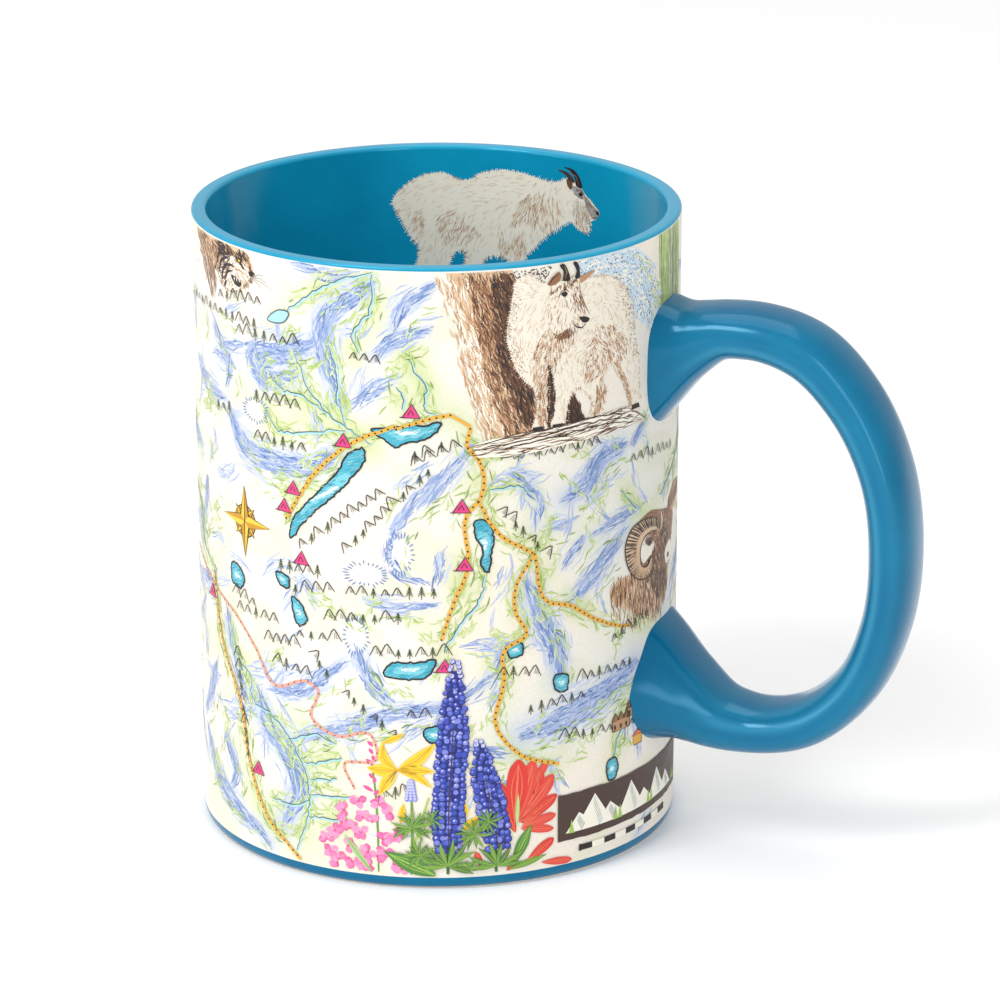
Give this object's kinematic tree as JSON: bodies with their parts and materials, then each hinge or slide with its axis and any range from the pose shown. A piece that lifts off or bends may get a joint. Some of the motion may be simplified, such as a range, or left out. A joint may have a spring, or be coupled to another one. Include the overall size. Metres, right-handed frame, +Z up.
{
  "type": "coffee mug",
  "caption": "Tall straight ceramic mug with a looped side handle, a coloured glaze lining, lip and foot, an illustrated map wrap outside and a small animal picture inside.",
  "frame": {"origin": "centre of the foot, on the plane that the mug stands on", "axes": "+Z up along the cup's axis, +X out through the middle of the handle, +Y to the side"},
  "size_m": [0.1323, 0.0864, 0.113],
  "materials": {
    "clay": "matte",
    "white_glaze": "gloss",
    "blue_glaze": "gloss",
    "map_print": "satin",
    "picture_print": "gloss"
  },
  "bodies": {
    "root": {"cup_body": "clay", "handle": "clay", "upper_slip_joint": "clay", "lower_slip_joint": "clay", "outer_glaze": "white_glaze", "lining_glaze": "blue_glaze", "foot_glaze": "blue_glaze", "base_glaze": "white_glaze", "handle_glaze": "blue_glaze", "print_wrap": "map_print", "inner_picture": "picture_print"}
  },
  "joints": []
}
